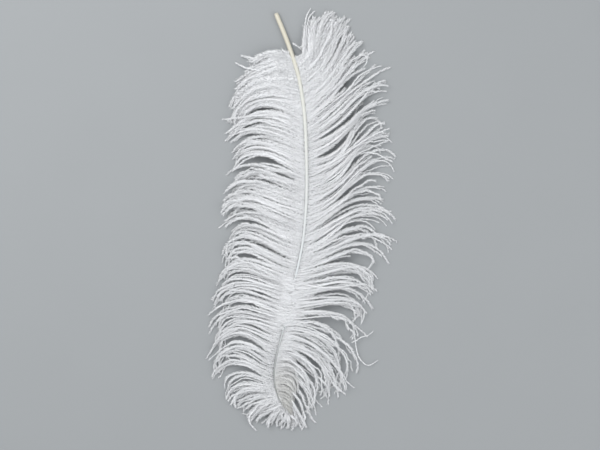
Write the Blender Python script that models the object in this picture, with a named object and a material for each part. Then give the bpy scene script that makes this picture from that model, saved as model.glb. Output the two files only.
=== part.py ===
"""Ostrich plume lying on its face: one tapering shaft with a soft vane on each side.

Metres, +Z up. The bare quill end points to +Y, the plume's tip to -Y, and the whole plume rests on z = 0.
"""

import math

import bpy
import numpy as np

MM = 0.001

# Shaft centre line from the quill's cut end to the plume's tip: x, y, height of the centre, radius, in mm.
SHAFT_STATIONS = [
    (-32.6, 281.0, 3.10, 3.10),
    (-15.8, 239.0, 3.80, 3.10),
    (-2.4, 197.0, 6.50, 2.90),
    (6.0, 146.0, 10.00, 2.65),
    (9.0, 85.0, 13.00, 2.35),
    (9.0, 28.0, 14.50, 2.05),
    (4.0, -30.0, 14.50, 1.75),
    (-8.0, -88.0, 13.50, 1.50),
    (-20.5, -142.0, 11.50, 1.25),
    (-32.0, -188.0, 9.00, 1.00),
    (-35.0, -216.0, 7.50, 0.85),
    (-28.5, -244.0, 6.00, 0.65),
    (-14.0, -264.0, 4.80, 0.45),
]
SHAFT_SAMPLES = 56
SHAFT_SIDES = 4  # curve bevel resolution: (4 + 1) x 4 sides round the shaft
QUILL_ROUNDING = [(0.0, 0.62), (0.7, 0.86), (1.8, 1.0)]  # mm from the end, share of the full radius
TIP_GAP = 0.40  # clear of the shaft's side, mm

# Barbs that shape a vane: how far down the shaft the barb starts (0 quill end, 1 tip),
# where its end lies (x, y in mm), and its heading where it leaves the shaft and where it
# ends, in degrees (0 straight out sideways, positive towards the quill end).
LEFT_BARBS = [
    (0.085, -76.0, 223.0, -4.0, -12.0),
    (0.130, -97.0, 181.0, -6.0, -35.0),
    (0.180, -99.0, 143.0, -2.0, -40.0),
    (0.280, -95.0, 104.0, 12.0, -45.0),
    (0.370, -93.0, 66.0, 15.0, -45.0),
    (0.460, -101.0, 28.0, 15.0, -40.0),
    (0.540, -103.0, -12.0, 15.0, -42.0),
    (0.620, -106.0, -62.0, 15.0, -50.0),
    (0.700, -114.0, -112.0, 12.0, -52.0),
    (0.770, -123.0, -155.0, 10.0, -50.0),
    (0.840, -118.0, -196.0, 8.0, -52.0),
    (0.900, -102.0, -236.0, 4.0, -55.0),
    (0.940, -78.0, -264.0, -10.0, -50.0),
    (0.970, -47.0, -275.0, -35.0, -55.0),
    (1.000, -10.8, -286.0, -100.0, -92.0),
]
RIGHT_BARBS = [
    (0.090, 14.0, 286.0, 34.0, 80.0),
    (0.125, 40.0, 281.0, 32.0, 62.0),
    (0.160, 61.0, 267.0, 32.0, 56.0),
    (0.205, 81.0, 245.0, 32.0, 48.0),
    (0.255, 96.0, 217.0, 30.0, 38.0),
    (0.310, 109.0, 186.0, 28.0, 26.0),
    (0.360, 119.0, 151.0, 25.0, 12.0),
    (0.420, 124.0, 110.0, 24.0, -4.0),
    (0.480, 125.0, 68.0, 24.0, -18.0),
    (0.540, 122.0, 24.0, 22.0, -32.0),
    (0.600, 122.0, -26.0, 20.0, -42.0),
    (0.660, 117.0, -76.0, 16.0, -50.0),
    (0.720, 109.0, -122.0, 12.0, -58.0),
    (0.780, 88.0, -166.0, 8.0, -64.0),
    (0.830, 70.0, -205.0, 2.0, -70.0),
    (0.875, 47.0, -240.0, -10.0, -74.0),
    (0.920, 25.0, -265.0, -20.0, -76.0),
    (0.955, 11.0, -282.0, -22.0, -78.0),
    (0.985, -1.0, -286.0, -20.0, -82.0),
    (1.000, -9.6, -286.0, -38.0, -92.0),
]
TUFTS = 26  # pointed tufts along the outer edge of each vane
TUFT_DEPTH = 0.045  # how much shorter the barbs between two tufts are, share of their length
ACROSS = [0.0, 0.12, 0.26, 0.42, 0.58, 0.73, 0.86, 1.0]  # rows of points from shaft to outer edge
FOOT_FROM = 0.86  # the underside lies flat on z = 0 from here to the outer edge
CREST_AT = 0.30  # where a vane stands highest, share of its width
CREST_HEIGHTS = [  # how far down the shaft, height of the underside at the crest in mm
    (0.08, 5.0),
    (0.20, 10.0),
    (0.35, 15.0),
    (0.55, 17.5),
    (0.75, 15.0),
    (0.88, 9.0),
    (1.00, 4.2),
]
ROOT_LIFT = -0.2  # the vane's underside at the shaft, above the shaft's centre line, mm
THICK_AT_SHAFT = 2.6  # mm
THICK_AT_CREST = 3.2
THICK_AT_EDGE = 1.6

KERATIN = (0.86, 0.84, 0.74)  # pale cream quill
PLUME = (0.87, 0.88, 0.90)  # cool white barbs


def clear_scene():
    """Empties the scene of objects."""
    for item in list(bpy.data.objects):
        bpy.data.objects.remove(item, do_unlink=True)


def collection():
    """The collection that holds the plume."""
    group = bpy.data.collections.new("OstrichPlume")
    bpy.context.scene.collection.children.link(group)
    return group


def material(name, colour, roughness):
    """A plain Principled material."""
    made = bpy.data.materials.new(name)
    made.use_nodes = True
    shader = made.node_tree.nodes["Principled BSDF"]
    shader.inputs["Base Color"].default_value = (*colour, 1.0)
    shader.inputs["Roughness"].default_value = roughness
    shader.inputs["Metallic"].default_value = 0.0
    return made


def smooth_rows(rows, at):
    """Rows read as a smooth curve through themselves, one row per value in `at` (0 to 1)."""
    points = np.array(rows, float)
    points = np.vstack([2 * points[0] - points[1], points, 2 * points[-1] - points[-2]])
    spans = len(rows) - 1
    result = []
    for value in at:
        place = min(max(value, 0.0), 1.0) * spans
        k = min(int(place), spans - 1)
        t = place - k
        a, b, c, d = points[k], points[k + 1], points[k + 2], points[k + 3]
        bend = (2 * a - 5 * b + 4 * c - d) * t * t + (-a + 3 * b - 3 * c + d) * t**3
        result.append(0.5 * (2 * b + (c - a) * t + bend))
    return np.array(result)


def shaft_line():
    """The shaft's centre line and radius at even steps of length: stations 0 to 1, and x, y, z, r in mm."""
    fine = smooth_rows(SHAFT_STATIONS, np.linspace(0.0, 1.0, 2001))
    steps = np.linalg.norm(np.diff(fine[:, :2], axis=0), axis=1)
    run = np.concatenate([[0.0], np.cumsum(steps)])
    return run / run[-1], fine, run[-1]


def at_station(line, station):
    """x, y, z, r of the shaft at one station."""
    stations, fine, _ = line
    return np.array([np.interp(station, stations, fine[:, k]) for k in range(4)])


def make_shaft(line, group):
    """The quill and shaft: a closed tapering rod."""
    length = line[2]
    places = [d / length for d, _ in QUILL_ROUNDING]
    places += list(np.linspace(0.012, 1.0, SHAFT_SAMPLES))
    shares = [share for _, share in QUILL_ROUNDING] + [1.0] * SHAFT_SAMPLES
    shares[-1] = 0.6
    data = bpy.data.curves.new("shaft", "CURVE")
    data.dimensions = "3D"
    data.bevel_depth = 1.0 * MM
    data.bevel_resolution = SHAFT_SIDES
    data.use_fill_caps = True
    spline = data.splines.new("POLY")
    spline.points.add(len(places) - 1)
    for point, place, share in zip(spline.points, places, shares):
        x, y, z, r = at_station(line, place)
        point.co = (x * MM, y * MM, z * MM, 1.0)
        point.radius = r * share
    made = bpy.data.objects.new("shaft", data)
    group.objects.link(made)
    data.materials.append(material("Quill keratin", KERATIN, 0.42))
    return made


def heading(side, degrees):
    """A plan direction, 0 straight out to this side and positive towards the quill end."""
    turn = math.radians(degrees)
    return np.array([side * math.cos(turn), math.sin(turn)])


def rib_plan(line, side, barb, length_share):
    """Plan points of one shaping barb, from the shaft's side to the outer edge, in mm."""
    station, tip_x, tip_y, leave, arrive = barb
    x, y, _, r = at_station(line, station)
    before = at_station(line, max(station - 0.004, 0.0))
    after = at_station(line, min(station + 0.004, 1.0))
    along = (after - before)[:2]
    along /= np.linalg.norm(along)
    outward = np.array([-along[1], along[0]]) * side
    root = np.array([x, y]) + outward * (r + TIP_GAP)
    tip = root + (np.array([tip_x, tip_y]) - root) * length_share
    reach = np.linalg.norm(tip - root) * 0.36
    first = root + heading(side, leave) * reach
    second = tip - heading(side, arrive) * reach
    rows = []
    for u in ACROSS:
        v = 1.0 - u
        rows.append(v**3 * root + 3 * v * v * u * first + 3 * v * u * u * second + u**3 * tip)
    return np.array(rows)


def rib_heights(line, station, u):
    """Height of the underside and of the top at a point across the vane, in mm."""
    crest = np.interp(station, [s for s, _ in CREST_HEIGHTS], [h for _, h in CREST_HEIGHTS])
    root = max(at_station(line, station)[2] + ROOT_LIFT, 0.0)
    if u <= CREST_AT:
        share = 0.5 - 0.5 * math.cos(math.pi * u / CREST_AT)
        under = root + (crest - root) * share
        thick = THICK_AT_SHAFT + (THICK_AT_CREST - THICK_AT_SHAFT) * share
    else:
        fall = min((u - CREST_AT) / (FOOT_FROM - CREST_AT), 1.0)
        under = crest * (0.5 + 0.5 * math.cos(math.pi * fall))
        thick = THICK_AT_CREST + (THICK_AT_EDGE - THICK_AT_CREST) * (u - CREST_AT) / (1 - CREST_AT)
    if u >= FOOT_FROM:
        under = 0.0
    return under, under + thick


def make_vane(name, side, barbs, line, group):
    """One vane: a thin arched closed solid between the shaft's side and the barbs' ends."""
    ribs = 2 * TUFTS + 1
    table = smooth_rows(barbs, np.linspace(0.0, 1.0, ribs))
    across = len(ACROSS)
    verts = []
    for number, barb in enumerate(table):
        barb[0] = min(max(barb[0], 0.0), 1.0)
        share = 1.0 - (TUFT_DEPTH if number % 2 else 0.0)
        plan = rib_plan(line, side, barb, share)
        for u, (x, y) in zip(ACROSS, plan):
            under, top = rib_heights(line, barb[0], u)
            verts.append((x * MM, y * MM, under * MM))
            verts.append((x * MM, y * MM, top * MM))
    verts = [tuple(v) for v in verts]
    faces = []

    def spot(rib, row, top):
        return (rib * across + row) * 2 + top

    for rib in range(ribs - 1):
        for row in range(across - 1):
            under = [spot(rib, row, 0), spot(rib, row + 1, 0), spot(rib + 1, row + 1, 0), spot(rib + 1, row, 0)]
            above = [spot(rib, row, 1), spot(rib + 1, row, 1), spot(rib + 1, row + 1, 1), spot(rib, row + 1, 1)]
            faces += [under, above]
        inner = [spot(rib, 0, 0), spot(rib + 1, 0, 0), spot(rib + 1, 0, 1), spot(rib, 0, 1)]
        outer = [spot(rib, across - 1, 1), spot(rib + 1, across - 1, 1)]
        outer += [spot(rib + 1, across - 1, 0), spot(rib, across - 1, 0)]
        faces += [inner, outer]
    for row in range(across - 1):
        faces.append([spot(0, row, 0), spot(0, row, 1), spot(0, row + 1, 1), spot(0, row + 1, 0)])
        last = ribs - 1
        faces.append([spot(last, row, 0), spot(last, row + 1, 0), spot(last, row + 1, 1), spot(last, row, 1)])
    triangles = []
    for face in faces:
        a, b, c, d = face if side > 0 else face[::-1]
        triangles += [(a, b, c), (a, c, d)]
    mesh = bpy.data.meshes.new(name)
    mesh.from_pydata(verts, [], triangles)
    mesh.validate()
    mesh.update()
    made = bpy.data.objects.new(name, mesh)
    group.objects.link(made)
    tint = "Plume barbs left" if side < 0 else "Plume barbs right"
    mesh.materials.append(material(tint, PLUME, 0.75))
    return made


def centre(pieces):
    """Moves the pieces together so that their shared box is centred on x = 0, y = 0 and stands on z = 0."""
    graph = bpy.context.evaluated_depsgraph_get()
    corners = []
    for piece in pieces:
        seen = piece.evaluated_get(graph)
        mesh = seen.to_mesh()
        corners += [tuple(vert.co) for vert in mesh.vertices]
        seen.to_mesh_clear()
    low = np.min(corners, axis=0)
    high = np.max(corners, axis=0)
    shift = (-(low[0] + high[0]) / 2, -(low[1] + high[1]) / 2, -low[2])
    for piece in pieces:
        piece.location = shift


def main():
    clear_scene()
    group = collection()
    line = shaft_line()
    shaft = make_shaft(line, group)
    left = make_vane("vane_left", -1, LEFT_BARBS, line, group)
    right = make_vane("vane_right", 1, RIGHT_BARBS, line, group)
    centre([shaft, left, right])


main()
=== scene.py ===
"""A white ostrich plume lying on a pale studio table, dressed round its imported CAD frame."""

import math
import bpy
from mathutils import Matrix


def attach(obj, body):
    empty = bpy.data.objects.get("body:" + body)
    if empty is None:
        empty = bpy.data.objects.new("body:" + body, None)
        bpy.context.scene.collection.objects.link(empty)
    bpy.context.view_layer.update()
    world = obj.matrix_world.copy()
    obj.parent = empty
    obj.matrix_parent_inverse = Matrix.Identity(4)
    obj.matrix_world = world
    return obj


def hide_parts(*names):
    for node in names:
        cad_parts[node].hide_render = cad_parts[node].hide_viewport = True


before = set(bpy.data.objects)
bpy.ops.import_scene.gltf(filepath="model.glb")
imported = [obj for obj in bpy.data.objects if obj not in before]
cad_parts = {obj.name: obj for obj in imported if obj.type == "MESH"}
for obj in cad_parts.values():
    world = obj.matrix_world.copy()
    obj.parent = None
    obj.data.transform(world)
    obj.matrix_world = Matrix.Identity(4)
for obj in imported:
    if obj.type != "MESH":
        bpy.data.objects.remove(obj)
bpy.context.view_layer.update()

from types import SimpleNamespace

import bpy
import numpy as np

bl_info = {
    "name": "Ostrich Plume",
    "version": (1, 0, 0),
    "blender": (4, 5, 0),
    "location": "3D View > Sidebar > Plume",
    "description": "Builds a white ostrich plume: quill and shaft, curved barbs with their down, stray barbs",
    "category": "Add Mesh",
}

MM = 0.001
BAKE_MAP = "OFBake"
PLAN_SHIFT = np.array([-0.92, 0.14])  # mm, from the middle of these tables to the middle of the CAD box

# Shaft centre line from the quill's cut end to the plume's tip: x, y, height of the centre, radius, in mm.
SHAFT_STATIONS = [
    (-32.6, 281.0, 3.10, 3.10),
    (-15.8, 239.0, 3.80, 3.10),
    (-2.4, 197.0, 6.50, 2.90),
    (6.0, 146.0, 10.00, 2.65),
    (9.0, 85.0, 13.00, 2.35),
    (9.0, 28.0, 14.50, 2.05),
    (4.0, -30.0, 14.50, 1.75),
    (-8.0, -88.0, 13.50, 1.50),
    (-20.5, -142.0, 11.50, 1.25),
    (-32.0, -188.0, 9.00, 1.00),
    (-35.0, -216.0, 7.50, 0.85),
    (-28.5, -244.0, 6.00, 0.65),
    (-14.0, -264.0, 4.80, 0.45),
]

# How the barbs run: place down the shaft (0 quill end, 1 tip), then the heading at the root, a third
# and two thirds of the way and at the end, in degrees (0 straight out sideways, positive towards the
# quill end), then the length in mm.
LEFT_FLOW = [
    (0.106, 6, 2, -18, -16, 58),
    (0.130, -4, -18, -28, -35, 80),
    (0.170, 5, -8, -38, -80, 102),
    (0.230, 16, 8, -28, -60, 108),
    (0.285, 22, 20, -15, -50, 104),
    (0.330, 24, 22, -2, -58, 107),
    (0.405, 22, 20, 0, -62, 106),
    (0.500, 17, 21, 12, -45, 116),
    (0.570, 14, 26, 14, -72, 112),
    (0.640, 10, 26, 6, -82, 108),
    (0.700, 20, 18, 0, -82, 110),
    (0.755, 10, 22, -8, -74, 108),
    (0.785, 6, 16, -22, -82, 108),
    (0.825, 10, 24, -24, -98, 106),
    (0.865, 12, 30, -30, -100, 102),
    (0.903, 10, 34, -14, -100, 88),
    (0.928, 0, 10, -24, -72, 70),
    (0.948, -8, -8, -32, -50, 60),
    (0.968, -20, -28, -42, -54, 44),
    (0.985, -50, -55, -60, -62, 27),
    (1.000, -95, -95, -92, -88, 20),
]
RIGHT_FLOW = [
    (0.113, -70, 74, 92, 84, 60),
    (0.122, -34, 72, 86, 72, 70),
    (0.136, 12, 66, 74, 52, 80),
    (0.154, 30, 58, 68, 54, 90),
    (0.197, 30, 46, 62, 66, 106),
    (0.230, 28, 46, 53, 48, 114),
    (0.260, 30, 43, 50, 30, 118),
    (0.290, 26, 40, 36, 14, 126),
    (0.320, 20, 38, 42, 26, 126),
    (0.350, 18, 38, 44, -8, 126),
    (0.396, 8, 38, 45, 8, 128),
    (0.459, 10, 40, 44, -25, 133),
    (0.482, 10, 40, 38, -25, 130),
    (0.508, 16, 37, 28, -25, 123),
    (0.531, 20, 32, 17, -35, 122),
    (0.576, 10, 36, 4, -72, 128),
    (0.616, 2, 28, 10, -66, 127),
    (0.645, 4, 18, -6, -70, 124),
    (0.681, 2, 13, -10, -80, 121),
    (0.709, 4, 8, -14, -78, 118),
    (0.738, 8, 4, -24, -84, 116),
    (0.760, 8, 0, -26, -88, 120),
    (0.778, 12, -26, -54, -96, 120),
    (0.806, 12, -32, -60, -104, 118),
    (0.839, 12, -32, -64, -92, 100),
    (0.874, 12, -36, -65, -74, 82),
    (0.910, 16, -36, -70, -66, 84),
    (0.941, -4, -52, -68, -64, 64),
    (0.970, -25, -58, -66, -64, 38),
    (1.000, -50, -60, -70, -70, 20),
]
# The short worn barbs that make a smooth flap beside the tip of the shaft, in the same way; the flap's grey
# is partly wear and partly painted shade.
WORN_FLOW = [
    (0.825, 14, -4, -34, -60, 30),
    (0.870, 14, -2, -46, -86, 40),
    (0.900, 16, -4, -58, -92, 44),
    (0.935, 14, -18, -72, -94, 36),
    (0.960, -10, -38, -72, -90, 28),
    (0.990, -42, -52, -62, -72, 17),
]

# How high the barbs ride at the crest of their arch: place down the shaft, height in mm.
CREST_HEIGHTS = [
    (0.08, 10.0), (0.20, 16.0), (0.35, 20.0), (0.55, 22.0), (0.75, 20.0), (0.88, 15.0), (1.0, 6.0),
]

# How each side's barbs behave. "first" is the place down the shaft where the vane begins. The entries
# after the flow have rows of a place down the shaft and the value there:
#   crowding  how closely the barbs stand, as a share of the usual number
#   cling     how tightly neighbours cling together in locks
#   fluff     the down's length, as a share; the softest down grows by the quill
#   wildness  how far the locks stray from the vane's flow, as a share
#   low       share of the barbs that lie low and even, under the locks
#   upright   share of the locks that stand up across their neighbours
#   worn      share of the barbs that are worn
#   partings  where the vane parts, and the degrees by which each side of the parting turns away
LEFT_HABIT = {
    "first": 0.106,
    "flow": LEFT_FLOW,
    "crowding": [
        (0.094, 1.8), (0.22, 1.6), (0.30, 1.05), (0.80, 1.1), (0.865, 0.95), (0.915, 0.9), (0.94, 1.7),
        (1.0, 2.2),
    ],
    "cling": [
        (0.094, 0.30), (0.20, 0.40), (0.28, 0.66), (0.45, 0.66), (0.72, 0.62), (0.84, 0.36), (0.94, 0.32),
        (1.0, 0.3),
    ],
    "fluff": [
        (0.10, 1.35), (0.19, 1.30), (0.27, 1.0), (0.64, 0.96), (0.72, 0.82), (0.84, 0.72), (0.92, 0.74),
        (0.96, 0.95),
    ],
    "wildness": [
        (0.10, 0.3), (0.23, 0.3), (0.30, 0.40), (0.36, 0.62), (0.60, 0.62), (0.74, 1.4), (0.85, 1.5),
        (0.90, 1.3), (1.0, 1.1),
    ],
    "low": [
        (0.10, 0.60), (0.24, 0.60), (0.29, 0.50), (0.62, 0.50), (0.72, 0.40), (0.80, 0.22), (0.85, 0.0),
        (0.90, 0.0), (0.93, 0.3),
    ],
    "upright": [],
    "worn": [(0.0, 0.0)],
    "partings": [(0.272, 6), (0.405, 6), (0.455, 3), (0.740, 4), (0.845, 3), (0.885, 3)],
}
RIGHT_HABIT = {
    "first": 0.113,
    "flow": RIGHT_FLOW,
    "crowding": [
        (0.094, 1.9), (0.20, 1.5), (0.28, 1.0), (0.60, 0.95), (0.738, 1.0), (0.748, 0.5), (0.768, 0.5),
        (0.780, 1.2), (0.86, 1.7), (1.0, 1.9),
    ],
    "cling": [
        (0.094, 0.30), (0.18, 0.35), (0.26, 0.70), (0.60, 0.80), (0.73, 0.70), (0.75, 0.25), (0.77, 0.25),
        (0.79, 0.65), (0.84, 0.60), (0.90, 0.4), (1.0, 0.3),
    ],
    "fluff": [
        (0.10, 1.35), (0.19, 1.30), (0.25, 0.95), (0.32, 0.80), (0.52, 0.82), (0.64, 0.90), (0.72, 0.80),
        (0.90, 0.84), (0.96, 0.95),
    ],
    "wildness": [(0.10, 0.35), (0.19, 0.4), (0.27, 0.9), (0.66, 1.0), (0.76, 1.6), (0.86, 1.6), (0.92, 1.2)],
    "low": [
        (0.10, 0.55), (0.20, 0.55), (0.28, 0.38), (0.60, 0.34), (0.73, 0.30), (0.75, 0.05), (0.77, 0.05),
        (0.79, 0.40), (1.0, 0.35),
    ],
    "upright": [(0.34, 0.0), (0.39, 0.32), (0.54, 0.34), (0.60, 0.0)],
    "worn": [(0.825, 0.0), (0.875, 0.5), (0.985, 0.64), (0.996, 0.0)],
    "partings": [
        (0.268, 4), (0.330, 3), (0.372, 2), (0.440, 3), (0.492, 2), (0.545, 3), (0.600, 3), (0.765, 6),
    ],
}
HABITS = {-1: LEFT_HABIT, 1: RIGHT_HABIT}  # by side: -1 is left, 1 is right

COVERED_SHARE = 0.9  # of the shaft's length that carries barbs, for their usual number
STEM_STEPS = 18  # straight steps along a barb's stem
LOCK_SIZES = (3, 6)  # barbs in a lock, from the first number to below the second
TUFT_SIZES = (2, 4)  # locks in a tuft, in the same way
# Turns in degrees at a barb's root, a third and two thirds of the way and at its end.
TUFT_TURN = np.array([0.8, 1.6, 2.4, 5.0])
LOCK_TURN = np.array([0.8, 2.0, 4.0, 14.0])
BARB_TURN = np.array([2.0, 2.5, 4.5, 14.0])
UPRIGHT_TURN = np.array([0.0, 4.0, 20.0, 46.0])
PARTING_TURN = np.array([0.3, 1.0, 0.5, -0.6])  # shares of the parting's own turn
PARTING_WIDTH = 0.012  # how far down the shaft a parting reaches
TIP_TURN = [(0.90, 1.0), (0.97, 1.8)]  # place down the shaft, how much more the barbs turn on their own
# Swing in degrees, then the shortest and longest wavelength in mm.
LOCK_WAVES = (8.0, 28.0, 52.0)
BARB_WAVES = (9.0, 16.0, 34.0)
STRAY_SHARE, STRAY_TURN, STRAY_SWING = 0.10, 2.2, 1.7  # how many barbs stray, and how much more they turn
LOCK_LENGTH, BARB_LENGTH = (1.0, 0.05), (1.0, 0.04)  # middle and spread of the share of the full length
TUFT_LIFT, LOCK_LIFT = 0.6, 0.7  # how much tufts and locks rise and sink
HOLD_UNEVEN, MOST_HOLD, LOW_HOLD = 0.16, 0.96, 0.1  # how firmly locks hold their barbs, and the low ones
FREE_END = 0.60  # how far a barb's end comes free of its lock again
HOOK_SHARE, HOOK_TURN = 0.12, (-80.0, 30.0)  # how many barbs end in a hook, and its turn in degrees
SHORT_SHARE, SHORT_REACH = 0.35, (0.55, 0.92)  # how many barbs are short, and what is left of them
WORN_REACH, WORN_TURN = (0.72, 1.08), 0.2  # length left of worn barbs, and how much of the turns they keep
# Heights in mm by which barbs ride over or under the crest.
LIFTED, UNEVEN, STRAYING, ROUNDED, LOWERED = 2.6, 0.9, 2.0, 1.4, 3.8
WORN_OVER, BESIDE_WORN = 1.0, 3.6
BARB_HEIGHTS = (0.7, 27.0)  # lowest and highest centre line, in mm
DOWN_HEIGHTS = (0.25, 29.5)  # lowest and highest tip of the down, in mm
# The barbs that hide the shaft: first place down the shaft, length of the stretch, how many on each side.
COVER_FROM, COVER_LENGTH, COVER_COUNTS = 0.645, 0.145, {-1: 66, 1: 44}
COVER_FULLNESS = 0.95
COVER_BARB, COVER_REACH = 110.0, (0.12, 0.34)  # their whole length in mm, and the share of it that is there
COVER_TURN, COVER_SWING = 6.0, 6.0  # degrees
COVER_PAST, COVER_OVER = (-1.2, 2.4), (0.2, 1.3)  # mm past the shaft's far side and over it
# Along a barb from 0 at its root to 1: share of the stem's width, then the down's slant in degrees, its
# share of the full length, and how much of it has grown by there.
STEM_TAPER = [(0.0, 0.45), (0.06, 0.9), (0.35, 1.0), (0.75, 0.60), (0.93, 0.30), (1.0, 0.05)]
DOWN_SLANT = [(0.0, 60), (0.3, 44), (0.7, 38), (1.0, 33)]
DOWN_TAPER = [(0.0, 0.75), (0.12, 1.0), (0.45, 0.95), (0.8, 0.85), (1.0, 0.68)]
DOWN_SPREAD = [(0.0, 0.0), (0.28, 0.36), (1.0, 1.0)]  # sparser by the shaft, where the barbs overlap
# How barbules differ: share of the down's length from barb to barb and on one barb, share of the width,
# then degrees in their slant and in their roll round the stem.
BARB_FLUFF, DOWN_LENGTHS, DOWN_WIDTHS = (0.65, 1.2), (0.65, 1.15), (0.7, 1.2)
SLANT_UNEVEN, DOWN_ROLL = 9.0, 34.0
DOWN_WIDEST = 0.42  # share of a barbule's length at which it is widest
DOWN_BEND, DOWN_DROOP = 0.35, 0.18  # how much its tip bends towards the barb's end and sinks
STEM_BY_FLUFF = [(0.6, 0.62), (1.0, 1.0), (1.3, 0.8)]  # share of the down's length, share of the stem's width

# Barbs that have come loose from the rest: height at each end, how full the down is, then plan points in
# mm, from root to tip.
STRAYS = [
    (7, 3, 0.7, [(-2.0, 233.0), (5.6, 240.0), (7.0, 262.0), (9.2, 277.0), (14.7, 287.6)]),
    (7, 2, 0.7, [(0.0, 231.0), (8.0, 243.0), (9.5, 262.0), (13.0, 276.0), (20.0, 284.0)]),
    (6, 5, 0.6, [(-10.5, 240.5), (-4.0, 236.5), (3.4, 230.5)]),
    (9, 4, 0.6, [(62.0, 205.0), (72.0, 217.0), (83.0, 223.5), (90.4, 222.0), (91.0, 214.0), (87.0, 208.0)]),
    (6, 3, 0.6, [(70.0, -168.0), (76.8, -165.0), (83.5, -160.6), (93.0, -158.0), (100.0, -152.7)]),
    (6, 2, 0.6, [
        (74.0, -150.0), (75.5, -164.0), (78.2, -182.4), (84.0, -193.0), (94.0, -199.2), (106.2, -192.4),
    ]),
    (11, 2, 0.9, [
        (-44.0, -243.0), (-54.0, -251.0), (-62.0, -259.5), (-69.0, -268.5), (-68.0, -277.5), (-60.0, -287.5),
    ]),
    (12, 4, 1.0, [(-20.0, 215.0), (-40.0, 216.0), (-60.0, 218.0), (-79.0, 223.0)]),
    (12, 4, 1.0, [(-30.0, 200.0), (-52.0, 202.0), (-72.0, 206.0), (-87.0, 213.0)]),
    (8, 3, 0.6, [(-60.0, 48.0), (-74.0, 51.0), (-84.0, 49.3), (-93.2, 44.2), (-104.0, 35.5)]),
    (9, 4, 0.6, [(70.0, 84.0), (88.0, 91.0), (103.4, 89.4), (114.0, 84.5), (125.8, 78.9)]),
]

SHAFT_POINTS = 64  # points of the path that the shaft follows
SHAFT_SIDES, SHAFT_RINGS = 28, 100
# The cut end: rim and slope inside it, in mm for a radius of 1 mm, then how deep the slope and the hollow
# behind it go, in mm.
CUT_RIM, CUT_SLOPE, SLOPE_DEPTH, HOLLOW_DEPTH = 0.18, 0.20, 0.5, 1.6
FLAT_FROM, FLAT_OVER = 0.08, 0.12  # share of the length at which the shaft flattens, and over which
FLATTENED, GROOVE_DEPTH = 0.10, 0.30  # share of its height, and mm for a radius of 1 mm
TABLE_SIZE = 8.0  # m
LAMPS = [("key", (-0.9, 0.8, 1.5), 1.5, 29.0), ("fill", (1.4, -0.5, 1.2), 1.6, 13.0)]  # m, m, W
SKY_STRENGTH = 0.76
CAMERA_PLACE = (-0.0007, -0.0075, 2.41)  # m, straight above the plume
CAMERA_DISTANCE, SEEN_WIDTH = 2.40, 0.816  # m, from the plume, and what the frame's width holds there
SENSOR = 36.0  # mm


def linear(hex_text):
    """An sRGB hex colour as linear red, green, blue and a full alpha."""
    parts = [int(hex_text[k : k + 2], 16) / 255 for k in (1, 3, 5)]
    flat = [p / 12.92 if p <= 0.04045 else ((p + 0.055) / 1.055) ** 2.4 for p in parts]
    return (*flat, 1.0)


class PlumeSettings(bpy.types.PropertyGroup):
    """Sizes and colours of the plume and its studio."""

    barb_spacing: bpy.props.FloatProperty(
        name="Barb spacing", description="Distance between barbs along one side of the shaft",
        default=1.28 * MM, min=0.5 * MM, unit="LENGTH",
    )
    stem_width: bpy.props.FloatProperty(
        name="Barb stem width", description="Thickness of a barb's stem at the shaft",
        default=1.15 * MM, min=0.1 * MM, unit="LENGTH",
    )
    down_length: bpy.props.FloatProperty(
        name="Down length", description="Length of the longest barbules",
        default=5.6 * MM, min=0.5 * MM, unit="LENGTH",
    )
    down_width: bpy.props.FloatProperty(
        name="Down width", description="Width of a barbule at its widest",
        default=0.52 * MM, min=0.02 * MM, unit="LENGTH",
    )
    down_spacing: bpy.props.FloatProperty(
        name="Down spacing", description="Distance between barbules along a barb, both sides counted",
        default=0.335 * MM, min=0.05 * MM, unit="LENGTH",
    )
    seed: bpy.props.IntProperty(name="Seed", description="Start of the random draws", default=7, min=0)
    quill_colour: bpy.props.FloatVectorProperty(
        name="Quill end", description="Colour of the bare quill end",
        subtype="COLOR", size=4, min=0.0, max=1.0, default=linear("#C5C0B0"),
    )
    shaft_colour: bpy.props.FloatVectorProperty(
        name="Shaft", description="Colour of the shaft between the vanes",
        subtype="COLOR", size=4, min=0.0, max=1.0, default=linear("#C9CBC9"),
    )
    down_colour: bpy.props.FloatVectorProperty(
        name="Down", description="Colour of the barbs and their down",
        subtype="COLOR", size=4, min=0.0, max=1.0, default=linear("#F8F9FB"),
    )
    worn_shaded_colour: bpy.props.FloatVectorProperty(
        name="Worn down with painted shade", description="Colour of the worn barbs at the tip, partly painted shade",
        subtype="COLOR", size=4, min=0.0, max=1.0, default=linear("#D9D9D6"),
    )
    table_colour: bpy.props.FloatVectorProperty(
        name="Table", description="Colour of the studio table",
        subtype="COLOR", size=4, min=0.0, max=1.0, default=linear("#919496"),
    )


# ---------------------------------------------------------------- shaft line


def smooth_rows(rows, at):
    """Rows read as a smooth curve through themselves, one row per value in `at` (0 to 1)."""
    points = np.array(rows, float)
    points = np.vstack([2 * points[0] - points[1], points, 2 * points[-1] - points[-2]])
    place = np.clip(at, 0.0, 1.0) * (len(rows) - 1)
    k = np.minimum(place.astype(int), len(rows) - 2)
    t = (place - k)[:, None]
    a, b, c, d = points[k], points[k + 1], points[k + 2], points[k + 3]
    bend = (2 * a - 5 * b + 4 * c - d) * t * t + (-a + 3 * b - 3 * c + d) * t**3
    return 0.5 * (2 * b + (c - a) * t + bend)


def shaft_line():
    """Places 0 to 1 down the shaft, its x, y, z, radius there in mm, and its length."""
    fine = smooth_rows(SHAFT_STATIONS, np.linspace(0.0, 1.0, 1601))
    fine[:, :2] += PLAN_SHIFT
    run = np.concatenate([[0.0], np.cumsum(np.linalg.norm(np.diff(fine[:, :2], axis=0), axis=1))])
    return run / run[-1], fine, run[-1]


def read_line(line, places):
    """x, y, z and radius of the shaft at each place."""
    return np.stack([np.interp(places, line[0], line[1][:, k]) for k in range(4)], axis=1)


# ---------------------------------------------------------------- materials


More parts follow.
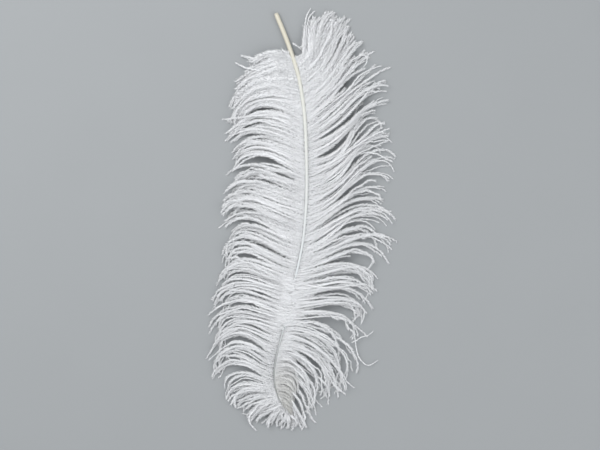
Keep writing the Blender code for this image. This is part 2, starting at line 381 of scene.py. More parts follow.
def add_node(tree, kind, settings=None, links=None):
    """Adds a node, sets its properties and inputs, and links its inputs from (node, output) pairs."""
    made = tree.nodes.new(kind)
    for key, value in (settings or {}).items():
        if isinstance(key, str) and hasattr(made, key):
            setattr(made, key, value)
        else:
            made.inputs[key].default_value = value
    for key, (source, output) in (links or {}).items():
        tree.links.new(source.outputs[output], made.inputs[key])
    return made


def new_material(name):
    """An empty material with its Principled shader."""
    made = bpy.data.materials.new(name)
    made.use_nodes = True
    return made, made.node_tree, made.node_tree.nodes["Principled BSDF"]


def set_ramp(ramp, stops):
    """Gives a colour ramp its stops: (place, colour)."""
    elements = ramp.color_ramp.elements
    while len(elements) > 1:
        elements.remove(elements[-1])
    elements[0].position, elements[0].color = stops[0]
    for place, colour in stops[1:]:
        elements.new(place).color = colour


def shade_base(tree, shader, colour, pattern, darkest, lightest):
    """Makes a colour, shaded by a pattern, the shader's base colour."""
    shades = {"To Min": darkest, "To Max": lightest}
    shade = add_node(tree, "ShaderNodeMapRange", shades, {"Value": (pattern, 0)})
    links = {0: (colour, 0), "Scale": (shade, 0)}
    tint = add_node(tree, "ShaderNodeVectorMath", {"operation": "SCALE"}, links)
    tree.links.new(tint.outputs[0], shader.inputs["Base Color"])


def keratin_material(settings):
    """Quill keratin, grown as a tube and scraped clean."""
    # To the eye: satin and horn-like, cream at the bare end, whiter between the vanes, grey at the tip; that
    # grey is painted shade.
    made, tree, shader = new_material("Quill keratin")
    place = add_node(tree, "ShaderNodeUVMap", {"uv_map": BAKE_MAP})
    split = add_node(tree, "ShaderNodeSeparateXYZ", links={0: (place, 0)})
    ramp = add_node(tree, "ShaderNodeValToRGB", links={0: (split, 0)})
    quill, shaft = tuple(settings.quill_colour), tuple(settings.shaft_colour)
    set_ramp(ramp, [
        (0.0, linear("#D2D0C9")),
        (0.012, quill),
        (0.085, quill),
        (0.20, linear("#C6C7C0")),
        (0.40, shaft),
        (0.68, linear("#CBD0D3")),
        # From here to the tip the greys are painted shade: the thin end of the shaft lies in the shaded
        # valley between the barbs.
        (0.79, linear("#B9BDBE")),
        (0.91, linear("#9FA2A1")),
        (1.0, linear("#85837C")),
    ])
    # Growth lines run along the shaft, about 0.4 mm apart round it.
    stretch = add_node(tree, "ShaderNodeMapping", {"Scale": (26.0, 44.0, 1.0)}, {"Vector": (place, 0)})
    grain = add_node(tree, "ShaderNodeTexNoise", {"Scale": 1.0, "Detail": 3.0}, {"Vector": (stretch, 0)})
    shade_base(tree, shader, ramp, grain, 0.93, 1.05)
    bump = add_node(tree, "ShaderNodeBump", {"Strength": 0.25, "Distance": 0.2 * MM}, {"Height": (grain, 0)})
    tree.links.new(bump.outputs[0], shader.inputs["Normal"])
    shader.inputs["Roughness"].default_value = 0.42
    shader.inputs["IOR"].default_value = 1.54
    return made


def down_material(name, stops, barbs):
    """Ostrich down, grown and washed, in colours that go from the piece's first barb to its last."""
    # To the eye: chalky white threads too fine to shine, with a soft sheen, and every barb a faintly
    # different white.
    made, tree, shader = new_material(name)
    place = add_node(tree, "ShaderNodeUVMap", {"uv_map": BAKE_MAP})
    split = add_node(tree, "ShaderNodeSeparateXYZ", links={0: (place, 0)})
    plain = add_node(tree, "ShaderNodeValToRGB", links={0: (split, 1)})
    set_ramp(plain, stops)
    lane = add_node(tree, "ShaderNodeMath", {"operation": "MULTIPLY", 1: float(barbs)}, {0: (split, 1)})
    barb = add_node(tree, "ShaderNodeMath", {"operation": "FLOOR"}, {0: (lane, 0)})
    draw = add_node(tree, "ShaderNodeTexWhiteNoise", {"noise_dimensions": "1D"}, {"W": (barb, 0)})
    shade_base(tree, shader, plain, draw, 0.93, 1.0)
    shader.inputs["Roughness"].default_value = 0.85
    shader.inputs["Specular IOR Level"].default_value = 0.25
    shader.inputs["Sheen Weight"].default_value = 0.35
    shader.inputs["Sheen Roughness"].default_value = 0.6
    return made


def table_material(settings):
    """Rolled paper on the studio table."""
    # To the eye: plain, matt and a little mottled.
    made, tree, shader = new_material("Studio paper")
    where = add_node(tree, "ShaderNodeTexCoord")
    grain = {"Scale": 9.0, "Detail": 2.0}  # patches about 110 mm wide
    mottle = add_node(tree, "ShaderNodeTexNoise", grain, {"Vector": (where, "Object")})
    paper = add_node(tree, "ShaderNodeRGB")
    paper.outputs[0].default_value = tuple(settings.table_colour)
    shade_base(tree, shader, paper, mottle, 0.985, 1.015)
    shader.inputs["Roughness"].default_value = 0.9
    return made


# ---------------------------------------------------------------- barbs


def heading_at(controls, t):
    """Headings along each barb, a cubic through its four control headings."""
    a, b, c, d = (controls[:, k : k + 1] for k in range(4))
    near, far = t - 1 / 3, t - 2 / 3
    ends = 4.5 * near * far * (d * t - a * (t - 1))
    return ends + 13.5 * t * (t - 1) * (b * far - c * near)


def plan_paths(side, roots, controls, lengths, reach, waves):
    """Plan points of wavy barbs that stop at reach, a share of their whole length: (barb, step, 2), in mm."""
    t = reach[:, None] * ((np.arange(STEM_STEPS) + 0.5) / STEM_STEPS)[None, :]
    swing, wavelength, start = (waves[:, k : k + 1] for k in range(3))
    wave = swing * np.sin(start + 2 * np.pi * t * lengths[:, None] / wavelength) * smoothstep(0.15, 0.75, t)
    turn = np.radians(heading_at(controls, t) + wave)
    step = (lengths * reach / STEM_STEPS)[:, None]
    moves = np.stack([side * np.cos(turn) * step, np.sin(turn) * step], axis=2)
    return np.concatenate([roots[:, None, :], roots[:, None, :] + np.cumsum(moves, axis=1)], axis=1)


def read_flow(flow, places):
    """Control headings and length at each place down the shaft."""
    rows = np.array(flow, float)
    values = np.stack([np.interp(places, rows[:, 0], rows[:, k]) for k in range(1, 6)], axis=1)
    return values[:, :4], values[:, 4]


def read_rows(rows, at):
    """Values between rows of (place, value)."""
    return np.interp(at, [place for place, _ in rows], [value for _, value in rows])


def smoothstep(low, high, value):
    """0 below low, 1 above high and smooth between."""
    t = np.clip((value - low) / (high - low), 0.0, 1.0)
    return t * t * (3 - 2 * t)


def crowded(habit, count, rng):
    """Places down the shaft for a side's barbs, closer together where the vane is thicker."""
    fine = np.linspace(habit["first"], 1.0, 800)
    total = np.cumsum(read_rows(habit["crowding"], fine))
    wanted = (np.arange(count) + 0.5 + rng.uniform(-0.35, 0.35, count)) / count
    return np.interp(wanted, total / total[-1], fine)


def grouped(count, low, high, rng):
    """Numbers that put a row of things in groups of low to high - 1 neighbours, and how many groups."""
    sizes = rng.integers(low, high, count)
    group = np.searchsorted(np.cumsum(sizes), np.arange(count), side="right")
    return group, group[-1] + 1


def roots_at(line, side, where):
    """Where barbs leave the shaft: plan points and heights, in mm."""
    here = read_line(line, where)
    ahead = read_line(line, np.minimum(where + 0.004, 1.0))[:, :2]
    behind = read_line(line, np.maximum(where - 0.004, 0.0))[:, :2]
    along = ahead - behind
    along /= np.linalg.norm(along, axis=1)[:, None]
    outward = np.stack([-along[:, 1], along[:, 0]], axis=1) * side
    return here[:, :2] + outward * here[:, 3:] * 0.8, here[:, 2] + 0.25 * here[:, 3]


def draw_waves(count, swing, shortest, longest, rng):
    """Each row: a barb's swing from its heading in degrees, its wavelength in mm and where it starts."""
    return np.stack([
        rng.normal(0.0, swing, count),
        rng.uniform(shortest, longest, count),
        rng.uniform(0.0, 2 * np.pi, count),
    ], axis=1)


def parted(habit, places):
    """Degrees by which barbs turn away from the partings of their vane."""
    turn = np.zeros(len(places))
    for place, amount in habit["partings"]:
        off = (place - places) / PARTING_WIDTH
        turn += amount * np.sign(off) * np.exp(-np.abs(off))
    return turn[:, None] * PARTING_TURN


def gather_locks(habit, places, rng):
    """Gathers barbs in locks and locks in tufts, and says how each lock turns, waves and is lifted."""
    lock, count = grouped(len(places), *LOCK_SIZES, rng)
    tuft, tufts = grouped(count, *TUFT_SIZES, rng)
    middle = np.array([places[lock == k].mean() for k in range(count)])
    wild = read_rows(habit["wildness"], middle)
    tuft_turn = rng.normal(0.0, 1.0, (tufts, 4)) * TUFT_TURN
    turn = (tuft_turn[tuft] + rng.normal(0.0, 1.0, (count, 4)) * LOCK_TURN) * wild[:, None]
    length = rng.normal(*LOCK_LENGTH, count)
    if habit["upright"]:
        upright = rng.uniform(size=count) < read_rows(habit["upright"], middle)
        turn += upright[:, None] * UPRIGHT_TURN
    lift = TUFT_LIFT * rng.uniform(-1.0, 1.0, tufts)[tuft] + LOCK_LIFT * rng.uniform(-1.0, 1.0, count)
    return SimpleNamespace(
        count=count,
        number=lock,  # the lock of each barb
        middle=middle,
        span=np.array([np.ptp(places[lock == k]) for k in range(count)]),
        wild=wild,
        tame=0.3 + 0.7 * wild,  # share that barbs and waves keep of their own turns
        turn=turn,
        length=length,
        lift=np.clip(lift, -1.0, 1.0),
    )


def aim_barbs(habit, places, locks, worn, stray, rng):
    """Every barb's control headings, whole length and reach, which is the share of the length it has."""
    count = len(places)
    controls, lengths = read_flow(habit["flow"], places)
    worn_controls, worn_lengths = read_flow(WORN_FLOW, places)
    controls = np.where(worn[:, None], worn_controls, controls)
    lengths = np.where(worn, worn_lengths, lengths)
    turn = rng.normal(0.0, 1.0, (count, 4)) * BARB_TURN * np.where(stray, STRAY_TURN, 1.0)[:, None]
    turn *= read_rows(TIP_TURN, places)[:, None]
    hooked = rng.uniform(size=count) < HOOK_SHARE
    turn[:, 3] += np.where(hooked, rng.uniform(*HOOK_TURN, count), 0.0)
    turn *= locks.tame[locks.number][:, None]
    kept = np.where(worn, WORN_TURN, 1.0)[:, None]
    controls = controls + (locks.turn[locks.number] + turn) * kept + parted(habit, places)
    short = rng.uniform(size=count) < SHORT_SHARE
    reach = np.where(short, rng.uniform(*SHORT_REACH, count), rng.normal(*BARB_LENGTH, count))
    reach = np.where(worn, np.clip(reach, *WORN_REACH), reach)
    return controls, lengths * locks.length[locks.number], reach


def barb_heights(habit, places, locks, root_z, reach, worn, stray, low, rng):
    """Heights along every barb: up from the shaft, over the crest and down to the end, in mm."""
    count = len(places)
    lift, wild = locks.lift[locks.number], locks.wild[locks.number]
    wear = read_rows(habit["worn"], places)
    half_span = np.maximum(locks.span[locks.number] / 2, 1e-4)
    middle = 1 - np.abs(places - locks.middle[locks.number]) / half_span  # each lock is rounded on top
    relief = np.minimum(0.25 + 0.75 * wild, 1.0)
    crest = read_rows(CREST_HEIGHTS, places)
    crest = crest + (LIFTED * lift + rng.normal(0.0, UNEVEN, count)) * wild + STRAYING * stray
    crest = crest + (ROUNDED * middle - LOWERED * low) * relief
    crest = crest + np.where(worn, WORN_OVER, -BESIDE_WORN * wear)
    end = rng.uniform(0.8, 4.0, count) + 2.5 * (lift > 0.4) + STRAYING * stray
    end = np.where(low, 0.9, end)
    end = np.where(worn, 0.62 * crest, end)
    t = np.arange(STEM_STEPS + 1) / STEM_STEPS
    place_along = reach[:, None] * t[None, :]
    rise = smoothstep(0.0, 0.30, place_along)
    fall = smoothstep(0.32, 1.0, place_along)
    height = root_z[:, None] * (1 - rise) + crest[:, None] * rise
    height = height * (1 - fall) + end[:, None] * fall
    wave = rng.normal(0.0, UNEVEN, (count, 1)) * relief[:, None] * np.sin(np.pi * 3 * t)[None, :]
    return np.clip(height + wave * rise, *BARB_HEIGHTS)


def lay_barbs(side, settings, line, rng):
    """One side's barbs: centre lines (barb, step, 3) in mm, places down the shaft, and which are worn."""
    habit = HABITS[side]
    count = int(COVERED_SHARE * line[2] * MM / settings.barb_spacing)
    places = crowded(habit, count, rng)
    locks = gather_locks(habit, places, rng)
    worn = rng.uniform(size=count) < read_rows(habit["worn"], places)
    stray = (rng.uniform(size=count) < STRAY_SHARE) & ~worn
    controls, lengths, reach = aim_barbs(habit, places, locks, worn, stray, rng)
    lock_waves = draw_waves(locks.count, *LOCK_WAVES, rng)
    lock_waves[:, 0] *= locks.tame
    waves = draw_waves(count, *BARB_WAVES, rng)
    waves[:, 0] *= np.where(stray, STRAY_SWING, 1.0) * np.where(worn, WORN_TURN, 1.0)
    waves[:, 0] *= locks.tame[locks.number]
    roots, root_z = roots_at(line, side, places)
    own = plan_paths(side, roots, controls, lengths, reach, waves)

    # The line that the barbs of a lock share, and how far each is pulled to it.
    lock_controls, lock_lengths = read_flow(habit["flow"], locks.middle)
    lock_controls = (lock_controls + locks.turn + parted(habit, locks.middle))[locks.number]
    lock_lengths = (lock_lengths * locks.length)[locks.number]
    lock_roots = roots_at(line, side, locks.middle)[0][locks.number]
    shared = plan_paths(side, lock_roots, lock_controls, lock_lengths, reach, lock_waves[locks.number])
    low = ~stray & ~worn & (rng.uniform(size=count) < read_rows(habit["low"], places))
    hold = read_rows(habit["cling"], places) + rng.normal(0.0, HOLD_UNEVEN, count)
    hold = np.where(low, LOW_HOLD, np.clip(hold, 0.0, MOST_HOLD))
    hold = np.where(stray | worn, 0.0, hold)
    t = np.arange(STEM_STEPS + 1) / STEM_STEPS
    along = smoothstep(0.02, 0.50, t) - FREE_END * smoothstep(0.62, 1.0, t)
    pull = (hold[:, None] * along)[:, :, None]
    plan = own * (1 - pull) + shared * pull
    height = barb_heights(habit, places, locks, root_z, reach, worn, stray, low, rng)
    return np.concatenate([plan, height[:, :, None]], axis=2), places, worn


def lay_cover(line, rng):
    """Barbs of both sides whose roots ride over the shaft and hide a stretch of it: (barb, step, 3) in mm."""
    made = []
    t = np.linspace(0.0, 1.0, STEM_STEPS + 1)[None, :]
    for side, count in COVER_COUNTS.items():
        places = np.sort(COVER_FROM + COVER_LENGTH * rng.beta(1.7, 1.6, count))
        controls, _ = read_flow(HABITS[side]["flow"], places)
        controls = controls + rng.normal(0.0, COVER_TURN, (count, 4))
        roots, root_z = roots_at(line, -side, places - 0.006)
        away = -side * rng.uniform(*COVER_PAST, count)
        roots = roots + np.stack([away, rng.normal(0.0, 0.6, count)], axis=1)
        reach = rng.uniform(*COVER_REACH, count)
        waves = draw_waves(count, COVER_SWING, *BARB_WAVES[1:], rng)
        plan = plan_paths(side, roots, controls, np.full(count, COVER_BARB), reach, waves)
        top = root_z + read_line(line, places)[:, 3] * 0.6 + rng.uniform(*COVER_OVER, count)
        sunk = 0.45 * np.abs(away)[:, None] * (1 - smoothstep(0.0, 0.2, t))
        height = top[:, None] - sunk + 1.2 * smoothstep(0.3, 1.0, t)
        made.append(np.concatenate([plan, height[:, :, None]], axis=2))
    return np.concatenate(made)


def lay_strays(rng):
    """The loose barbs, smooth through their own points: (barb, step, 3) in mm."""
    made = []
    t = np.linspace(0.0, 1.0, STEM_STEPS + 1)
    for start, end, _, points in STRAYS:
        plan = smooth_rows(points, t) + PLAN_SHIFT
        height = start * (1 - t) + end * t + rng.uniform(0.5, 1.5) * np.sin(np.pi * t)
        made.append(np.concatenate([plan, height[:, None]], axis=1))
    return np.array(made)


def read_paths(paths, barb, t):
    """Points and unit tangents on the barbs' centre lines."""
    steps = paths.shape[1] - 1
    place = np.clip(t, 0.0, 0.9999) * steps
    k = place.astype(int)
    f = (place - k)[:, None]
    a, b = paths[barb, k], paths[barb, k + 1]
    before = paths[barb, np.maximum(k - 1, 0)]
    after = paths[barb, np.minimum(k + 2, steps)]
    tangent = (b - before) * (1 - f) + (after - a) * f
    tangent /= np.linalg.norm(tangent, axis=1)[:, None]
    return a * (1 - f) + b * f, tangent


def across(tangent):
    """Unit vectors level with the table and at right angles to each tangent, and the ones square to both."""
    flat = np.stack([-tangent[:, 1], tangent[:, 0], np.zeros(len(tangent))], axis=1)
    flat /= np.maximum(np.linalg.norm(flat, axis=1), 1e-6)[:, None]
    return flat, np.cross(tangent, flat)


def stem_arrays(paths, width, lanes):
    """Stems with their closest down, three-sided, flat below, tapering: vertices, triangles, map places."""
    barbs, rings, _ = paths.shape
    barb = np.repeat(np.arange(barbs), rings)
    t = np.tile(np.linspace(0.0, 1.0, rings), barbs)
    _, tangent = read_paths(paths, barb, t)
    point = paths.reshape(-1, 3)
    flat, up = across(tangent)
    radius = (width[barb] / 2 * read_rows(STEM_TAPER, t))[:, None]
    corners = [point + radius * flat, point + radius * 0.55 * up, point - radius * flat]
    verts = np.stack(corners, axis=1).reshape(-1, 3)
    first = (np.arange(barbs)[:, None] * rings + np.arange(rings - 1)[None, :]).ravel() * 3
    faces = []
    for k in range(3):
        a, b = first + k, first + (k + 1) % 3
        faces.append(np.stack([a, b, b + 3], axis=1))
        faces.append(np.stack([a, b + 3, a + 3], axis=1))
    root = np.arange(barbs) * rings * 3
    last = root + (rings - 1) * 3
    faces += [np.stack([root, root + 2, root + 1], axis=1), np.stack([last, last + 1, last + 2], axis=1)]
    lane = np.repeat(lanes[barb], 3) + np.tile([-0.3, 0.0, 0.3], barbs * rings)
    places = np.stack([np.repeat(t, 3) * 0.96 + 0.02, lane], axis=1)
    return verts, np.concatenate(faces), places


def down_arrays(paths, lanes, settings, fullness, rng):
    """Barbules: slivers that leave the stems at a slant, bent a little towards the barb's end."""
    barbs = paths.shape[0]
    lengths = np.linalg.norm(np.diff(paths, axis=1), axis=2).sum(axis=1)
    counts = (lengths * np.sqrt(fullness) / (settings.down_spacing / MM)).astype(int)
    barb = np.repeat(np.arange(barbs), counts)
    number = len(barb)
    start = np.repeat(np.cumsum(counts) - counts, counts)
    spread = (np.arange(number) - start + rng.uniform(0.0, 1.0, number)) / np.repeat(counts, counts)
    t = read_rows(DOWN_SPREAD, spread)
    base, tangent = read_paths(paths, barb, t)
    flat, up = across(tangent)
    side = np.where(rng.uniform(size=number) < 0.5, -1.0, 1.0)
    fluff = (rng.uniform(*BARB_FLUFF, barbs) * fullness)[barb]
    slant = read_rows(DOWN_SLANT, t) * (0.45 + 0.55 * fluff)
    slant = np.radians(slant + rng.normal(0.0, SLANT_UNEVEN, number))
    roll = np.radians(rng.normal(0.0, DOWN_ROLL, number))
    share = read_rows(DOWN_TAPER, t) * rng.uniform(*DOWN_LENGTHS, number)
    length = settings.down_length / MM * share * fluff
    away = side[:, None] * np.cos(roll)[:, None] * flat + np.sin(roll)[:, None] * up
    direction = np.cos(slant)[:, None] * tangent + np.sin(slant)[:, None] * away
    wide = np.cross(direction, up)
    wide /= np.maximum(np.linalg.norm(wide, axis=1), 1e-6)[:, None]
    thick = np.cross(wide, direction)
    half = (settings.down_width / MM / 2 * rng.uniform(*DOWN_WIDTHS, number))[:, None]
    middle = base + direction * (DOWN_WIDEST * length)[:, None] + thick * half * 0.7
    bend = tangent * DOWN_BEND - np.array([0.0, 0.0, DOWN_DROOP])
    tip = base + (direction + bend * 0.6) * length[:, None] * 0.92
    tip[:, 2] = np.clip(tip[:, 2], *DOWN_HEIGHTS)
    middle[:, 2] = np.maximum(middle[:, 2], 0.60)
    left, right = middle - wide * half, middle + wide * half
    volume = np.einsum("ij,ij->i", np.cross(left - base, right - base), tip - base)
    swap = (volume < 0)[:, None]
    left, right = np.where(swap, right, left), np.where(swap, left, right)
    verts = np.stack([base, left, right, tip], axis=1).reshape(-1, 3)
    first = (np.arange(number) * 4)[:, None]
    pattern = [(0, 2, 1), (0, 1, 3), (0, 3, 2), (1, 2, 3)]
    faces = np.concatenate([first + np.array(p)[None, :] for p in pattern])
    lane = lanes[barb]
    u = t * 0.96 + 0.02
    places = np.stack([
        np.stack([u - 0.006, lane], axis=1),
        np.stack([u, lane - 0.3], axis=1),
        np.stack([u, lane + 0.3], axis=1),
        np.stack([u + 0.008, lane], axis=1),
    ], axis=1).reshape(-1, 2)
    return verts, faces, places


def mesh_piece(name, parts, lanes, material):
    """One closed-shell mesh object from several sets of arrays, with its map."""
    verts, faces, places, base = [], [], [], 0
    for v, f, p in parts:
        verts.append(v)
        faces.append(f + base)
        places.append(p)
        base += len(v)
    verts, faces, places = np.concatenate(verts), np.concatenate(faces), np.concatenate(places)
    places = places * np.array([1.0, 1.0 / lanes])
    mesh = bpy.data.meshes.new(name)
    mesh.vertices.add(len(verts))
    mesh.vertices.foreach_set("co", (verts * MM).astype(np.float32).ravel())
    mesh.loops.add(faces.size)
    mesh.loops.foreach_set("vertex_index", faces.astype(np.int32).ravel())
    mesh.polygons.add(len(faces))
    mesh.polygons.foreach_set("loop_start", np.arange(0, faces.size, 3, dtype=np.int32))
    mesh.polygons.foreach_set("use_smooth", np.ones(len(faces), bool))
    layer = mesh.uv_layers.new(name=BAKE_MAP)
    layer.data.foreach_set("uv", places[faces.ravel()].astype(np.float32).ravel())
    mesh.update(calc_edges=True)
    mesh.materials.append(material)
    made = bpy.data.objects.new(name, mesh)
    bpy.context.scene.collection.objects.link(made)
    return made


def barb_piece(name, node, paths, fullness, material, settings, rng):
    """One piece made of whole barbs, stems and down, in place of a CAD vane; fullness is one value a barb."""
    lane = np.arange(len(paths)) + 0.5
    width = settings.stem_width / MM * read_rows(STEM_BY_FLUFF, fullness)
    parts = [stem_arrays(paths, width, lane), down_arrays(paths, lane, settings, fullness, rng)]
    piece = mesh_piece(name, parts, len(paths), material)
    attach(piece, "root")
    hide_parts(node)


def dress_vane(side, settings):
    """All barbs of one vane, in three pieces down the shaft and the worn ones at the right-hand tip."""
    rng = np.random.default_rng(settings.seed + (1 if side < 0 else 2))
    paths, places, worn = lay_barbs(side, settings, shaft_line(), rng)
    node = "vane_left" if side < 0 else "vane_right"
    down = tuple(settings.down_colour)
    fluff = read_rows(HABITS[side]["fluff"], places)
    bounds = np.quantile(places[~worn], [0.0, 0.333, 0.667, 1.0])
    bounds[-1] += 1.0
    for k, part in enumerate(("base", "middle", "tip")):
        here = (places >= bounds[k]) & (places < bounds[k + 1]) & ~worn
        material = down_material("Ostrich down", [(0.0, down)], here.sum())
        barb_piece(f"{node}_barbs_{part}", node, paths[here], fluff[here], material, settings, rng)
    if worn.any():
        worn_shaded_down = tuple(settings.worn_shaded_colour)
        # The worn barbs turn from white to grey from the first to the last and are darkest at the tip. This
        # is partly wear and dirt, and partly painted shade of the flap that lies low beside the shaft.
        stops = [(0.0, down), (0.45, linear("#E9E9E8")), (0.85, worn_shaded_down), (1.0, linear("#A3A29F"))]
        material = down_material("Worn ostrich down with painted shade", stops, worn.sum())
        barb_piece(f"{node}_barbs_worn_shaded", node, paths[worn], fluff[worn], material, settings, rng)


# ---------------------------------------------------------------- operators


def nothing_selected():
    """Leaves edit mode and deselects everything."""
    if bpy.context.mode != "OBJECT":
        bpy.ops.object.mode_set(mode="OBJECT")
    bpy.ops.object.select_all(action="DESELECT")


class PLUME_OT_shaft(bpy.types.Operator):
    """Makes the bare quill end and the shaft it grows into"""

    bl_idname = "plume.shaft"
    bl_label = "Quill and Shaft"

    def execute(self, context):
        settings = context.scene.plume
        nothing_selected()
        rows = read_line(shaft_line(), np.linspace(0.0, 1.0, SHAFT_POINTS))
        length = np.linalg.norm(np.diff(rows[:, :3], axis=0), axis=1).sum() * MM
        guide = self.add_path(context, rows)
        rod = self.add_rod(context, length)
        self.cut_end(rod.data, length)
        self.shape_section(rod.data, length)
        self.map_rod(rod.data, length)
        bend = rod.modifiers.new("follow the path", "CURVE")
        bend.object = guide
        bend.deform_axis = "POS_X"
        nothing_selected()
        rod.select_set(True)
        context.view_layer.objects.active = rod
        bpy.ops.object.modifier_apply(modifier=bend.name)
        bpy.data.objects.remove(guide, do_unlink=True)
        bpy.ops.object.shade_smooth()
        rod.data.materials.append(keratin_material(settings))
        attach(rod, "root")
        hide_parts("shaft")
        return {"FINISHED"}

    def add_path(self, context, rows):
        """The path that the rod follows, with the shaft's radius at every point."""
        path = bpy.data.curves.new("shaft path", "CURVE")
        path.dimensions = "3D"
        path.twist_mode = "Z_UP"
        path.use_radius = True
        spline = path.splines.new("POLY")
        spline.points.add(len(rows) - 1)
        for point, (x, y, z, r) in zip(spline.points, rows):
            point.co = (x * MM, y * MM, z * MM, 1.0)
            point.radius = r
        guide = bpy.data.objects.new("shaft path", path)
        context.scene.collection.objects.link(guide)
        return guide

    def add_rod(self, context, length):
        """A rod one millimetre in radius along +X, cut in rings; the path's own radius scales it."""
        bpy.ops.mesh.primitive_cylinder_add(
            vertices=SHAFT_SIDES, radius=1.0 * MM, depth=length, end_fill_type="NGON",
            location=(length / 2, 0.0, 0.0), rotation=(0.0, math.pi / 2, 0.0),
        )
        rod = context.object
        rod.name = rod.data.name = "shaft_quill"
        bpy.ops.object.transform_apply(location=True, rotation=True, scale=True)
        bpy.ops.object.mode_set(mode="EDIT")
        bpy.ops.mesh.select_mode(type="EDGE")
        bpy.ops.mesh.select_all(action="DESELECT")
        bpy.ops.object.mode_set(mode="OBJECT")
        mesh = rod.data
        for edge in mesh.edges:
            a, b = (mesh.vertices[k].co for k in edge.vertices)
            edge.select = abs(a.x - b.x) > length / 2
        bpy.ops.object.mode_set(mode="EDIT")
        bpy.ops.mesh.subdivide(number_cuts=SHAFT_RINGS)
        bpy.ops.mesh.select_mode(type="FACE")
        bpy.ops.mesh.select_all(action="DESELECT")
        bpy.ops.object.mode_set(mode="OBJECT")
        return rod

    def cut_end(self, mesh, length):
        """Makes the cut end: a rim worn round, with the hollow of the quill inside it."""
        for face in mesh.polygons:
            face.select = abs(face.normal.x) > 0.9 and face.center.x < length / 2
        bpy.ops.object.mode_set(mode="EDIT")
        bpy.ops.mesh.inset(thickness=CUT_RIM * MM)
        bpy.ops.mesh.inset(thickness=CUT_SLOPE * MM)
        bpy.ops.transform.translate(value=(SLOPE_DEPTH * MM, 0.0, 0.0))
        bpy.ops.mesh.extrude_region_move(TRANSFORM_OT_translate={"value": (HOLLOW_DEPTH * MM, 0.0, 0.0)})
        bpy.ops.transform.resize(value=(1.0, 0.6, 0.6))
        bpy.ops.object.mode_set(mode="OBJECT")
        for vert in mesh.vertices:
            y, z = vert.co.y, vert.co.z
            if vert.co.x < 0.2 * MM and math.hypot(y, z) > 0.95 * MM:
                vert.co.y, vert.co.z = y * 0.86, z * 0.86

    def shape_section(self, mesh, length):
        """Flattens the shaft a little past the quill and cuts the shallow groove along its underside."""
        for vert in mesh.vertices:
            share = min(max((vert.co.x / length - FLAT_FROM) / FLAT_OVER, 0.0), 1.0)
            turn = math.atan2(vert.co.z, vert.co.y)
            groove = max(0.0, -math.sin(turn)) ** 6
            vert.co.z *= 1.0 - FLATTENED * share
            vert.co.z += GROOVE_DEPTH * MM * groove * share

    def map_rod(self, mesh, length):
        """Unrolls the rod: u runs along it and v round it."""
        layer = mesh.uv_layers.new(name=BAKE_MAP)
        for face in mesh.polygons:
            turns = []
            for k in face.loop_indices:
                co = mesh.vertices[mesh.loops[k].vertex_index].co
                turns.append(math.atan2(co.z, co.y) / (2 * math.pi) + 0.5)
            over = max(turns) - min(turns) > 0.5
            for k, turn in zip(face.loop_indices, turns):
                co = mesh.vertices[mesh.loops[k].vertex_index].co
                turn = turn + 1.0 if over and turn < 0.5 else turn
                layer.data[k].uv = (min(max(co.x / length, 0.0), 1.0) * 0.98 + 0.01, turn * 0.96 + 0.005)


class PLUME_OT_barbs(bpy.types.Operator):
    """Makes both vanes: curved barbs gathered in locks, with down on every barb"""

    bl_idname = "plume.barbs"
    bl_label = "Barbs and Down"

    def execute(self, context):
        settings = context.scene.plume
        nothing_selected()
        for side in (-1, 1):
            dress_vane(side, settings)
        return {"FINISHED"}


class PLUME_OT_loose(bpy.types.Operator):
    """Makes the soft barbs that lie over the shaft and the strays that stick out of the outline"""

    bl_idname = "plume.loose"
    bl_label = "Loose Barbs"

    def execute(self, context):
        settings = context.scene.plume
        nothing_selected()
        rng = np.random.default_rng(settings.seed + 3)
        down = tuple(settings.down_colour)
        cover = lay_cover(shaft_line(), rng)
        material = down_material("Ostrich down", [(0.0, down)], len(cover))
        fullness = np.full(len(cover), COVER_FULLNESS)
        barb_piece("shaft_cover_down", "vane_right", cover, fullness, material, settings, rng)
        strays = lay_strays(rng)
        material = down_material("Ostrich down", [(0.0, down)], len(strays))
        fullness = np.array([row[2] for row in STRAYS])
        barb_piece("stray_barbs", "vane_right", strays, fullness, material, settings, rng)
        return {"FINISHED"}


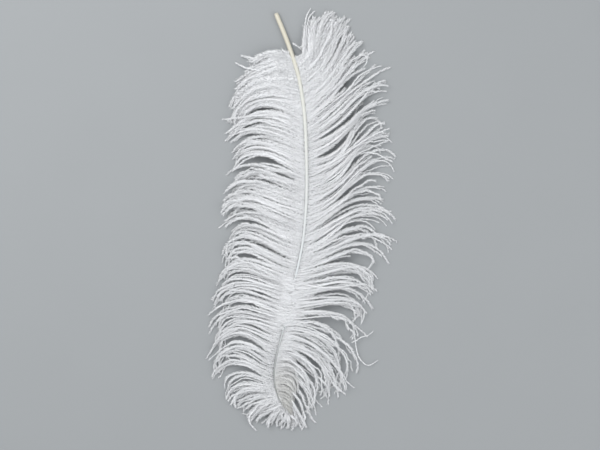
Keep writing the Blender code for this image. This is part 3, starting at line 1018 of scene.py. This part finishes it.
class PLUME_OT_stage(bpy.types.Operator):
    """Makes the studio table, the soft lights and the camera over the plume"""

    bl_idname = "plume.stage"
    bl_label = "Studio"

    def execute(self, context):
        settings = context.scene.plume
        nothing_selected()
        bpy.ops.mesh.primitive_plane_add(size=TABLE_SIZE, location=(0.0, 0.0, 0.0))
        table = context.object
        table.name = "studio_table"
        table.data.materials.append(table_material(settings))
        for lamp in LAMPS:
            self.add_light(*lamp)
        world = bpy.data.worlds.new("studio")
        context.scene.world = world
        world.use_nodes = True
        sky = world.node_tree.nodes["Background"]
        sky.inputs["Color"].default_value = linear("#F2F4F6")
        sky.inputs["Strength"].default_value = SKY_STRENGTH
        context.scene.view_settings.view_transform = "Standard"
        bpy.ops.object.camera_add(location=CAMERA_PLACE, rotation=(0.0, 0.0, 0.0))
        camera = context.object
        camera.name = "studio_camera"
        camera.data.sensor_width = SENSOR
        camera.data.lens = SENSOR * CAMERA_DISTANCE / SEEN_WIDTH
        camera.data.clip_end = 20.0
        context.scene.camera = camera
        return {"FINISHED"}

    def add_light(self, name, place, size, power):
        """A square soft box that faces the middle of the plume."""
        bpy.ops.object.light_add(type="AREA", location=place)
        lamp = bpy.context.object
        lamp.name = name
        lamp.data.size = size
        lamp.data.energy = power
        aim = -lamp.location
        lamp.rotation_euler = aim.to_track_quat("-Z", "Y").to_euler()


class PLUME_PT_panel(bpy.types.Panel):
    """The plume's steps and settings"""

    bl_idname = "PLUME_PT_panel"
    bl_label = "Ostrich Plume"
    bl_space_type = "VIEW_3D"
    bl_region_type = "UI"
    bl_category = "Plume"

    def draw(self, context):
        settings = context.scene.plume
        for key in PlumeSettings.__annotations__:
            self.layout.prop(settings, key)
        for step in STEPS:
            self.layout.operator(step.bl_idname)


STEPS = (PLUME_OT_shaft, PLUME_OT_barbs, PLUME_OT_loose, PLUME_OT_stage)
CLASSES = (PlumeSettings, *STEPS, PLUME_PT_panel)


def register():
    """Registers the classes and puts the settings on the scene."""
    for item in CLASSES:
        bpy.utils.register_class(item)
    bpy.types.Scene.plume = bpy.props.PointerProperty(type=PlumeSettings)


def unregister():
    """Takes everything off again."""
    del bpy.types.Scene.plume
    for item in reversed(CLASSES):
        bpy.utils.unregister_class(item)


def main():
    """Builds the plume and its studio."""
    register()
    bpy.ops.plume.shaft()
    bpy.ops.plume.barbs()
    bpy.ops.plume.loose()
    bpy.ops.plume.stage()


if __name__ == "__main__":
    main()
